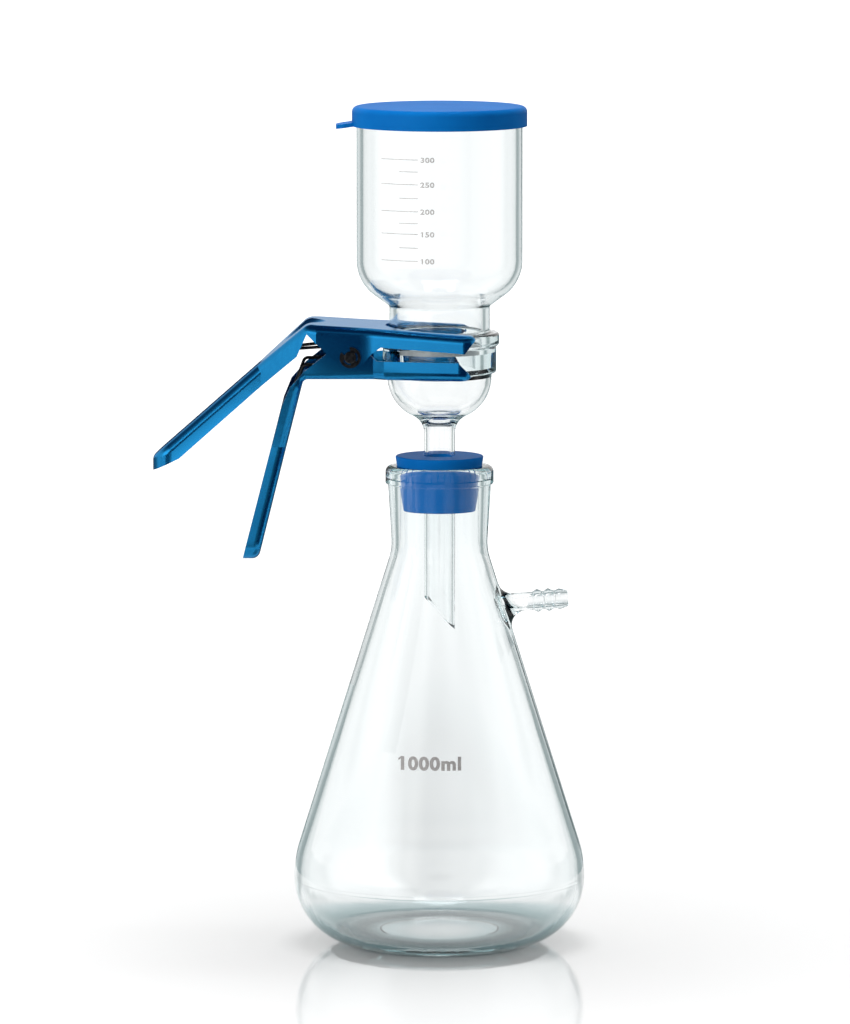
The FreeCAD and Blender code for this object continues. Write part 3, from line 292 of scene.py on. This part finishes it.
def stroke(start, stop, level, width, parts=16):
    """Corners and faces of a flat bar along a line of the scale."""
    corners = []
    faces = []
    for step in range(parts + 1):
        along = start + (stop - start) * step / parts
        corners += [(along, level - width / 2), (along, level + width / 2)]
        if step:
            faces.append((2 * step - 2, 2 * step, 2 * step + 1, 2 * step - 1))
    return corners, faces


def word(text, left, bottom, size, stretch, weight):
    """Corners and faces of a flat word, from its left end and baseline, drawn wider by stretch;
    a leading 1 gets its flag."""
    curve = bpy.data.curves.new("word", "FONT")
    curve.body = text
    curve.size = size
    curve.space_character = 1.1
    curve.offset = weight
    curve.resolution_u = 4
    holder = bpy.data.objects.new("word", curve)
    scene.collection.objects.link(holder)
    bpy.context.view_layer.update()
    depsgraph = bpy.context.evaluated_depsgraph_get()
    mesh = bpy.data.meshes.new_from_object(holder.evaluated_get(depsgraph))
    bpy.data.objects.remove(holder)
    corners = [(left + vertex.co.x * stretch, bottom + vertex.co.y) for vertex in mesh.vertices]
    faces = [tuple(face.vertices) for face in mesh.polygons]
    if text.startswith("1"):
        top = max(level for _, level in corners)
        stem = min(along for along, _ in corners)
        tip = stem - 0.16 * size
        root = stem + 0.03 * size
        flag = [(tip, top - 0.25 * size), (root, top - 0.13 * size),
                (root, top), (tip, top - 0.14 * size)]
        faces.append(tuple(len(corners) + index for index in range(4)))
        corners += flag
    return corners, faces


def lay_print(name, parts, surface, material):
    """One piece of print from flat parts laid on a curved face."""
    corners = []
    faces = []
    for flat, rings in parts:
        faces += [tuple(index + len(corners) for index in ring) for ring in rings]
        corners += [surface(*spot) for spot in flat]
    mesh = bpy.data.meshes.new(name)
    mesh.from_pydata(corners, [], faces)
    piece = bpy.data.objects.new(name, mesh)
    scene.collection.objects.link(piece)
    piece.data.materials.append(material)
    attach(piece, "unit")


# millilitres, and the height of each line of the scale in millimetres
SCALE = {100: 325.9, 125: 332.0, 150: 338.4, 175: 343.4, 200: 348.9,
         225: 355.0, 250: 361.4, 275: 367.3, 300: 372.9}
NUMBERED_STEP = 50
LONG_START = CUP_RADIUS * math.radians(-44)
SHORT_START = CUP_RADIUS * math.radians(-29)
LINE_END = CUP_RADIUS * math.radians(-15)
LINE_WIDTH = 0.36 * MM
NUMBER_START = CUP_RADIUS * math.radians(-13.4)
NUMBER_DROP = 1.2
NUMBER_SIZE = 3.3 * MM
NUMBER_STRETCH = 1.25
NUMBER_WEIGHT = 0.12 * MM
scale_parts = []
for volume, height in SCALE.items():
    first = SHORT_START if volume % NUMBERED_STEP else LONG_START
    scale_parts.append(stroke(first, LINE_END, height * MM, LINE_WIDTH))
    if volume % NUMBERED_STEP == 0:
        base = (height - NUMBER_DROP) * MM
        scale_parts.append(word(str(volume), NUMBER_START, base, NUMBER_SIZE, NUMBER_STRETCH,
                                NUMBER_WEIGHT))
lay_print("funnel_scale", scale_parts, on_cup, SCALE_PRINT)

MARK_START = -19.9 * MM
MARK_BASE = 90.2 * MM
MARK_SIZE = 8.1 * MM
MARK_STRETCH = 1.15
MARK_WEIGHT = 0.34 * MM
mark = word("1000ml", MARK_START, MARK_BASE, MARK_SIZE, MARK_STRETCH, MARK_WEIGHT)
lay_print("volume_mark", [mark], on_cone, MARK_PRINT)


# ---------------------------------------------------------------- the clamp's spring
# lengths in millimetres, but for the wire's radius
WIRE_RADIUS = 0.75 * MM
WIRE_SIDES = 14
COIL_RADIUS = 4.3
COIL_PITCH = 1.6
COIL_HALF_TURNS = 7
COIL_OUTER = 17.6
COIL_STEPS = 16
LEG_KNEE = 4.0
LEG_REACH = 28.0
LEG_DROP = math.tan(math.radians(5.2))
LEG_HALF_GAP = 5.5
LEG_BEND = 12.0
BEND_SHARE = 0.45
PIVOT = Vector(frame["joints"][0]["pos_m"]) / MM


def arc_run(points, bend, parts=8):
    """The points of a path with its corners rounded to tangent arcs."""
    path = [points[0]]
    for before, corner, after in zip(points, points[1:], points[2:]):
        back = (before - corner).normalized()
        ahead = (after - corner).normalized()
        half = back.angle(ahead) / 2
        shorter = min((before - corner).length, (after - corner).length)
        reach = min(bend / math.tan(half), BEND_SHARE * shorter)
        toward = (back + ahead).normalized()
        center = corner + toward * (reach / math.cos(half))
        first = corner + back * reach - center
        last = corner + ahead * reach - center
        for step in range(parts + 1):
            path.append(center + first.lerp(last, step / parts).normalized() * first.length)
    return path + [points[-1]]


def coil_run(side):
    """The coil's helix from the lowest outer point to the highest inner one."""
    steps = COIL_STEPS * COIL_HALF_TURNS
    path = []
    for step in range(steps + 1):
        turn = math.pi * COIL_HALF_TURNS * step / steps
        level = side * (COIL_OUTER - COIL_PITCH * turn / (2 * math.pi))
        spot = Vector((COIL_RADIUS * math.sin(turn), level, -COIL_RADIUS * math.cos(turn)))
        path.append(PIVOT + spot)
    return path


def wire(name, path):
    """A round wire along a path given in millimetres, in place of the CAD's spring."""
    spots = [point * MM for point in path]
    tangents = []
    for index in range(len(spots)):
        after = spots[min(index + 1, len(spots) - 1)]
        before = spots[max(index - 1, 0)]
        tangents.append((after - before).normalized())
    across = tangents[0].orthogonal().normalized()
    corners = []
    faces = []
    for index, (spot, tangent) in enumerate(zip(spots, tangents)):
        across = (across - tangent * across.dot(tangent)).normalized()
        other = tangent.cross(across)
        for side in range(WIRE_SIDES):
            angle = 2 * math.pi * side / WIRE_SIDES
            turned = across * math.cos(angle) + other * math.sin(angle)
            corners.append(spot + WIRE_RADIUS * turned)
        if index:
            low = WIRE_SIDES * (index - 1)
            for side in range(WIRE_SIDES):
                beside = (side + 1) % WIRE_SIDES
                faces.append((low + side, low + beside,
                              low + WIRE_SIDES + beside, low + WIRE_SIDES + side))
    faces.append(tuple(range(WIRE_SIDES - 1, -1, -1)))
    faces.append(tuple(range(len(corners) - WIRE_SIDES, len(corners))))
    mesh = bpy.data.meshes.new(name)
    mesh.from_pydata(corners, [], faces)
    mesh.shade_smooth()
    piece = bpy.data.objects.new(name, mesh)
    scene.collection.objects.link(piece)
    piece.data.materials.append(STEEL)
    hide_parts("torsion_spring")
    return piece


def make_spring():
    """Two coils, each with a leg under the upper handle, and the loop in the lower one."""
    for side, label in ((-1, "front"), (1, "back")):
        coil = coil_run(side)
        top = coil[-1]
        knee = top - Vector((LEG_KNEE, 0, 0))
        tip = Vector((knee.x - LEG_REACH, side * LEG_HALF_GAP, knee.z - LEG_REACH * LEG_DROP))
        leg = arc_run([top, knee, tip], LEG_BEND)
        piece = wire("spring_coil_" + label, coil + leg[1:])
        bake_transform(piece)
    half = [
        Vector((PIVOT.x, COIL_OUTER, PIVOT.z - COIL_RADIUS)),
        Vector((-63.4, COIL_OUTER, PIVOT.z - COIL_RADIUS)),
        Vector((-67.37, 15.6, 265.09)),
        Vector((-71.92, 6.0, 244.79)),
    ]
    other = [Vector((point.x, -point.y, point.z)) for point in reversed(half)]
    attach(wire("spring_loop", arc_run(half + other, 2.4)), "unit")


make_spring()


# ---------------------------------------------------------------- studio
RAYS = ("camera", "diffuse", "glossy", "transmission", "volume_scatter", "shadow")

WHITE = (1.0, 1.0, 1.0)
DEEP = (0.022, 0.042, 0.085)
PANEL = (2.0, 2.0, 2.0)
SIDE = (0.20, 0.27, 0.28)
# what mirrors find round the unit, by degrees from -Y towards +X: above the table's edge, and
# on the table
AROUND = [(-180, SIDE), (-110, SIDE), (-92, WHITE), (-68, WHITE), (-60, PANEL), (-24, PANEL),
          (-13, DEEP), (72, DEEP), (92, WHITE), (110, SIDE), (180, SIDE)]
BELOW = [(-180, SIDE), (-110, SIDE), (-92, WHITE), (-80, WHITE), (-62, DEEP), (72, DEEP),
         (92, WHITE), (110, SIDE), (180, SIDE)]

TABLE_REACH = 60.0
# the table's grey and its glow, by distance from the unit's axis; the grey darkens towards the
# axis, a painted contact shadow round the unit's foot; a ramp runs from 0 to 1, so
# the distances are scaled to fit it
TABLE_PAINTED_SHADOW = [(0.034, 0.30), (0.044, 0.46), (0.060, 0.72), (0.078, 0.86), (0.100, 0.88)]
SHADE_SCALE = 10.0
TABLE_GLOWS = [(0.08, 0.0), (0.25, 0.13), (1.6, 0.6)]
GLOW_SPAN = 2.0
# nearer the unit than this, mirrors find the table itself
MIRROR_START = 0.28

WORLD_LIGHT = 0.42
WORLD_DEEP_START = 0.30
WORLD_DEEP_END = 0.72

FRONT_SCREEN = [(1.7, 0.0), (1.7, 1.25)]
SIDE_SCREEN = [(3.4, 0.0), (3.4, 0.33)]

# strip lights for the handles: the middle (X, Z) in millimetres, the lean in degrees, how far
# it reaches along and across in millimetres, and the tones across it
STRIPS = {
    "upper": ((-97.0, 263.0), 41.2, (-100, 12), (-30, 30),
              [(-30, 1.9), (-12, 1.9), (-9, 1.2), (-5, 0.5), (-2, 0.12), (0, DEEP), (30, DEEP)]),
    "lower": ((-77.0, 225.0), 76.0, (-100, 50), (-45, 20),
              [(-45, 0.17), (-12, 0.21), (-6, 0.3), (-3, 0.55), (3, 0.66), (7, 1.0), (11, 0.9),
               (14, 0.25), (20, DEEP)]),
}
STRIP_SPREAD = 0.077

# the ring that the glass shows: tones by degrees within each quarter turn, near the table and
# higher up, and under the flask by millimetres from the axis, where a dark band is a painted
# shadow under the flask's belly
RING_RADIUS = 0.18
RING_LEVEL = 0.0006
RING_TOP = 0.8
RING_CENTRE = 0.0005
EDGE = (0.38, 0.43, 0.43)
LOW_TONES = [(-45, EDGE), (-41, EDGE), (-33, 1.0), (-17, 1.10), (-12.5, 1.14), (-9.5, 1.08),
             (-6, 0.86), (-2, 0.84), (5, 0.92), (11, 1.10), (16, 1.12), (33, 1.0), (41, EDGE),
             (45, EDGE)]
HIGH_TONES = [(-45, EDGE), (-41, EDGE), (-33, 0.94), (-16, 1.08), (-12, 1.12), (12, 1.12),
              (16, 1.08), (33, 0.94), (41, EDGE), (45, EDGE)]
UNDER_PAINTED_SHADOW = [(0, 0.66), (12, 0.58), (24, (0.30, 0.38, 0.39)), (36, (0.02, 0.04, 0.045)),
               (50, (0.08, 0.14, 0.15)), (66, (0.28, 0.38, 0.39)), (85, (0.55, 0.63, 0.64)),
               (100, 0.88)]
UNDER_SCALE = 10.0
# a dimmer patch on the ring's front
PATCH_LEVEL = 0.205
PATCH_FLATTEN = 0.7
PATCH_START = 0.02
PATCH_END = 0.055
PATCH_DIM = 0.3

# the side arm's axis, its shades' reach along it and off it, and their tones by distance
ARM_LEAN = math.tan(math.radians(4.5))
ARM_LEVEL = 0.159
ARM_SHADE_START = 0.042
ARM_SHADE_END = 0.068
ARM_SHADE_NEAR = 0.003
ARM_SHADE_FAR = 0.020
ARM_SHADE_SPREAD = 0.012
ARM_TONES = [(0.15, (0.97, 0.98, 0.98)), (0.35, (0.80, 0.84, 0.85)), (0.55, (0.30, 0.37, 0.38)),
             (0.75, (0.14, 0.19, 0.20)), (1.0, (0.25, 0.30, 0.31))]


def seen_only_by(obj, *kinds):
    """Hide an object from every kind of ray but the named ones."""
    for kind in RAYS:
        setattr(obj, "visible_" + kind, kind in kinds)


def stage_mesh(name, corners, faces, material):
    """A mesh of the studio, which is no part of the unit."""
    mesh = bpy.data.meshes.new(name)
    mesh.from_pydata(corners, [], faces)
    obj = bpy.data.objects.new(name, mesh)
    scene.collection.objects.link(obj)
    obj.data.materials.append(material)
    return obj


def place_parts(tree):
    """The X, Y and Z sockets of object coordinates."""
    where = tree.nodes.new("ShaderNodeTexCoord")
    split = tree.nodes.new("ShaderNodeSeparateXYZ")
    tree.links.new(where.outputs["Object"], split.inputs["Vector"])
    return split.outputs["X"], split.outputs["Y"], split.outputs["Z"]


def axis_distance(tree, x, y):
    """The distance from the unit's axis."""
    total = math_node(tree, "ADD", math_node(tree, "MULTIPLY", x, x),
                      math_node(tree, "MULTIPLY", y, y))
    return math_node(tree, "SQRT", total)


def tone_ramp(tree, place, stops, start, end):
    """A ramp from (place, tone) stops between start and end; a tone is a grey or a colour."""
    return ramp(tree, place, [((spot - start) / (end - start),
                               tone if isinstance(tone, tuple) else (tone,) * 3)
                              for spot, tone in stops])


def round_tone(tree, x, y, stops):
    """A tone by direction about the unit's axis."""
    turn = math_node(tree, "ARCTAN2", x, math_node(tree, "MULTIPLY", y, -1.0))
    place = math_node(tree, "ADD", math_node(tree, "DIVIDE", turn, math.radians(360.0)), 0.5)
    return ramp(tree, place, [(degrees / 360.0 + 0.5, tint) for degrees, tint in stops])


def blend(tree, level, low, high, first, second, smooth=False):
    """The first tone socket below low and the second, a socket or a colour, above high."""
    rise = map_range(tree, level, low, high, smooth=smooth)
    mix = tree.nodes.new("ShaderNodeMix")
    mix.data_type = "RGBA"
    tree.links.new(rise, mix.inputs["Factor"])
    tree.links.new(first, mix.inputs["A"])
    if isinstance(second, tuple):
        mix.inputs["B"].default_value = (*second, 1)
    else:
        tree.links.new(second, mix.inputs["B"])
    return mix.outputs["Result"]


def make_floor():
    """A pale, faintly glossy table that keeps the unit's reflection and its shadow; its colour
    darkens towards the unit's axis, a painted contact shadow; it glows a little, more so far off,
    where the lamps don't reach."""
    material, tree, shader = new_material("table_top")
    shader.inputs["Roughness"].default_value = 0.05
    shader.inputs["IOR"].default_value = 1.45
    path = tree.nodes.new("ShaderNodeLightPath")
    seen = math_node(tree, "MAXIMUM", path.outputs["Is Camera Ray"],
                     path.outputs["Is Transmission Ray"])
    x, y, _ = place_parts(tree)
    reach = axis_distance(tree, x, y)
    # painted contact shadow: the table's colour darkens towards the unit's axis
    shade = ramp(tree, math_node(tree, "MULTIPLY", reach, SHADE_SCALE),
                 [(radius * SHADE_SCALE, (grey,) * 3) for radius, grey in TABLE_PAINTED_SHADOW])
    tree.links.new(shade, shader.inputs["Base Color"])
    far = ramp(tree, math_node(tree, "DIVIDE", reach, GLOW_SPAN),
               [(radius / GLOW_SPAN, (level,) * 3) for radius, level in TABLE_GLOWS])
    glow = tree.nodes.new("ShaderNodeEmission")
    tree.links.new(math_node(tree, "MULTIPLY", seen, far), glow.inputs["Strength"])
    total = tree.nodes.new("ShaderNodeAddShader")
    tree.links.new(shader.outputs["BSDF"], total.inputs[0])
    tree.links.new(glow.outputs["Emission"], total.inputs[1])
    mirrored = tree.nodes.new("ShaderNodeEmission")
    tree.links.new(round_tone(tree, x, y, BELOW), mirrored.inputs["Color"])
    outside = math_node(tree, "GREATER_THAN", reach, MIRROR_START)
    either = tree.nodes.new("ShaderNodeMixShader")
    tree.links.new(math_node(tree, "MULTIPLY", path.outputs["Is Glossy Ray"], outside),
                   either.inputs["Fac"])
    tree.links.new(total.outputs["Shader"], either.inputs[1])
    tree.links.new(mirrored.outputs["Emission"], either.inputs[2])
    tree.links.new(either.outputs["Shader"], tree.nodes["Material Output"].inputs["Surface"])
    size = TABLE_REACH
    corners = [(-size, -size, 0), (size, -size, 0), (size, size, 0), (-size, size, 0)]
    stage_mesh("table", corners, [(0, 1, 2, 3)], material)


def make_world():
    """White where the camera and the glass see it, white low down and deep overhead where metal
    mirrors it, and softer as light on the object."""
    world = bpy.data.worlds.new("studio")
    scene.world = world
    world.use_nodes = True
    tree = world.node_tree
    sky = tree.nodes["Background"].inputs
    path = tree.nodes.new("ShaderNodeLightPath")
    seen = math_node(tree, "MAXIMUM", path.outputs["Is Camera Ray"],
                     path.outputs["Is Transmission Ray"])
    seen = math_node(tree, "MAXIMUM", seen, path.outputs["Is Glossy Ray"])
    tree.links.new(spread(tree, seen, WORLD_LIGHT, 1.0), sky["Strength"])
    white = tree.nodes.new("ShaderNodeRGB")
    white.outputs["Color"].default_value = (*WHITE, 1)
    _, _, z = place_parts(tree)
    overhead = blend(tree, z, WORLD_DEEP_START, WORLD_DEEP_END, white.outputs["Color"], DEEP,
                     smooth=True)
    mirrored = tree.nodes.new("ShaderNodeMix")
    mirrored.data_type = "RGBA"
    tree.links.new(path.outputs["Is Glossy Ray"], mirrored.inputs["Factor"])
    tree.links.new(white.outputs["Color"], mirrored.inputs["A"])
    tree.links.new(overhead, mirrored.inputs["B"])
    tree.links.new(mirrored.outputs["Result"], sky["Color"])


def glow_material(name):
    """A plain glowing material, its tree and its glow's inputs."""
    material = bpy.data.materials.new(name)
    material.use_nodes = True
    tree = material.node_tree
    tree.nodes.remove(tree.nodes["Principled BSDF"])
    glow = tree.nodes.new("ShaderNodeEmission")
    tree.links.new(glow.outputs["Emission"], tree.nodes["Material Output"].inputs["Surface"])
    return material, tree, glow.inputs


def band(name, rings, first, last, parts, material):
    """A band through rings (radius, level), from one direction to another about the unit's axis;
    directions are degrees from -Y towards +X."""
    corners = []
    faces = []
    count = len(rings)
    for step in range(parts + 1):
        angle = math.radians(first + (last - first) * step / parts)
        corners += [(radius * math.sin(angle), -radius * math.cos(angle), level)
                    for radius, level in rings]
        if step:
            for ring in range(count - 1):
                low = count * (step - 1) + ring
                faces.append((low, low + count, low + count + 1, low + 1))
    return stage_mesh(name, corners, faces, material)


def make_surround():
    """Screens only for reflections: deep blue in front with a white panel on its left, and darker
    sides at the back."""
    material, tree, glow = glow_material("screens")
    x, y, z = place_parts(tree)
    above = blend(tree, z, 0.75, 1.2, round_tone(tree, x, y, AROUND), DEEP, smooth=True)
    tone = blend(tree, z, 0.03, 0.06, round_tone(tree, x, y, BELOW), above)
    tree.links.new(tone, glow["Color"])
    seen_only_by(band("front_screen", FRONT_SCREEN, -90, 90, 90, material), "glossy")
    seen_only_by(band("right_screen", SIDE_SCREEN, 90, 160, 40, material), "glossy")
    seen_only_by(band("left_screen", SIDE_SCREEN, 200, 270, 40, material), "glossy")


def make_handle_cards():
    """Four strip lights beside the handles, only for reflections, graded across their width."""
    for label, (middle, lean, along, across, tones) in STRIPS.items():
        material, tree, glow = glow_material("strip_" + label)
        _, _, z = place_parts(tree)
        span = (across[1] - across[0]) * MM
        place = math_node(tree, "ADD", math_node(tree, "DIVIDE", z, span), -across[0] * MM / span)
        tree.links.new(tone_ramp(tree, place, tones, *across), glow["Color"])
        corners = [(along[end] * MM, 0, across[side] * MM)
                   for end, side in ((0, 0), (1, 0), (1, 1), (0, 1))]
        for side, place_name in ((-1, "front"), (1, "back")):
            name = "strip_%s_%s" % (label, place_name)
            strip = stage_mesh(name, corners, [(0, 1, 2, 3)], material)
            strip.location = (middle[0] * MM, side * STRIP_SPREAD, middle[1] * MM)
            strip.rotation_euler = (0, -math.radians(lean), 0)
            seen_only_by(strip, "glossy")


def make_backdrop_ring():
    """A soft grey and white surround that only the glass shows, which shades its walls, and a
    disc under the flask with a painted shadow round its foot.
    """
    material, tree, glow = glow_material("backdrop")
    x, y, z = place_parts(tree)
    turn = math_node(tree, "ARCTAN2", x, y)
    quarter = math_node(tree, "ADD", math_node(tree, "DIVIDE", turn, math.pi / 2), 4.5)
    place = math_node(tree, "FRACT", quarter)
    wall = blend(tree, z, 0.03, 0.15, tone_ramp(tree, place, LOW_TONES, -45, 45),
                 tone_ramp(tree, place, HIGH_TONES, -45, 45))
    reach = axis_distance(tree, x, y)
    # painted shadow under the flask: a dark band round its foot, seen through the glass
    under = tone_ramp(tree, math_node(tree, "MULTIPLY", reach, UNDER_SCALE), UNDER_PAINTED_SHADOW, 0, 100)
    tree.links.new(blend(tree, reach, 0.085, 0.14, under, wall), glow["Color"])
    ahead = math_node(tree, "ADD", y, RING_RADIUS)
    rise = math_node(tree, "MULTIPLY", math_node(tree, "ADD", z, -PATCH_LEVEL), PATCH_FLATTEN)
    near = math_node(tree, "ADD", math_node(tree, "MULTIPLY", x, x),
                     math_node(tree, "POWER", ahead, 2.0))
    total = math_node(tree, "ADD", near, math_node(tree, "POWER", rise, 2.0))
    away = math_node(tree, "SQRT", total)
    tree.links.new(map_range(tree, away, PATCH_START, PATCH_END, PATCH_DIM), glow["Strength"])
    rings = [(RING_CENTRE, RING_LEVEL), (RING_RADIUS, RING_LEVEL), (RING_RADIUS, RING_TOP)]
    seen_only_by(band("backdrop_ring", rings, 0, 360, 180, material), "transmission")


def make_arm_shades():
    """Graded strips over and under the side arm, which only its glass shows, so that the round
    tube gets its darker edges."""
    material, tree, glow = glow_material("arm_shade")
    x, _, z = place_parts(tree)
    axis = math_node(tree, "ADD", math_node(tree, "MULTIPLY", x, ARM_LEAN), ARM_LEVEL)
    away = math_node(tree, "ABSOLUTE", math_node(tree, "SUBTRACT", z, axis))
    place = math_node(tree, "DIVIDE", away, ARM_SHADE_FAR)
    tree.links.new(ramp(tree, place, ARM_TONES), glow["Color"])
    bands = ((ARM_SHADE_NEAR, ARM_SHADE_FAR), (-ARM_SHADE_FAR, -ARM_SHADE_NEAR))
    for name, side in (("arm_shade_front", -1), ("arm_shade_back", 1)):
        corners = []
        for low, high in bands:
            for along, offset in ((ARM_SHADE_START, low), (ARM_SHADE_END, low),
                                  (ARM_SHADE_END, high), (ARM_SHADE_START, high)):
                corners.append((along, side * ARM_SHADE_SPREAD,
                                ARM_LEVEL + ARM_LEAN * along + offset))
        strips = stage_mesh(name, corners, [(0, 1, 2, 3), (4, 5, 6, 7)], material)
        seen_only_by(strips, "transmission")


def soft_light(name, spot, size, power, aim=(0, 0, 0.2)):
    """A large soft lamp aimed at a point."""
    data = bpy.data.lights.new(name, "AREA")
    data.shape = "RECTANGLE"
    data.size, data.size_y = size
    data.energy = power
    lamp = bpy.data.objects.new(name, data)
    scene.collection.objects.link(lamp)
    lamp.location = spot
    lamp.rotation_euler = (Vector(aim) - Vector(spot)).to_track_quat("-Z", "Y").to_euler()
    return lamp


make_floor()
make_world()
make_surround()
make_handle_cards()
make_backdrop_ring()
make_arm_shades()
soft_light("overhead", (0, 0.1, 1.4), (0.6, 0.6), 9.0).visible_glossy = False
left_box = soft_light("left_box", (-1.2, -0.9, 0.8), (1.0, 1.2), 13.0)
left_box.visible_glossy = False
left_box.data.use_shadow = False
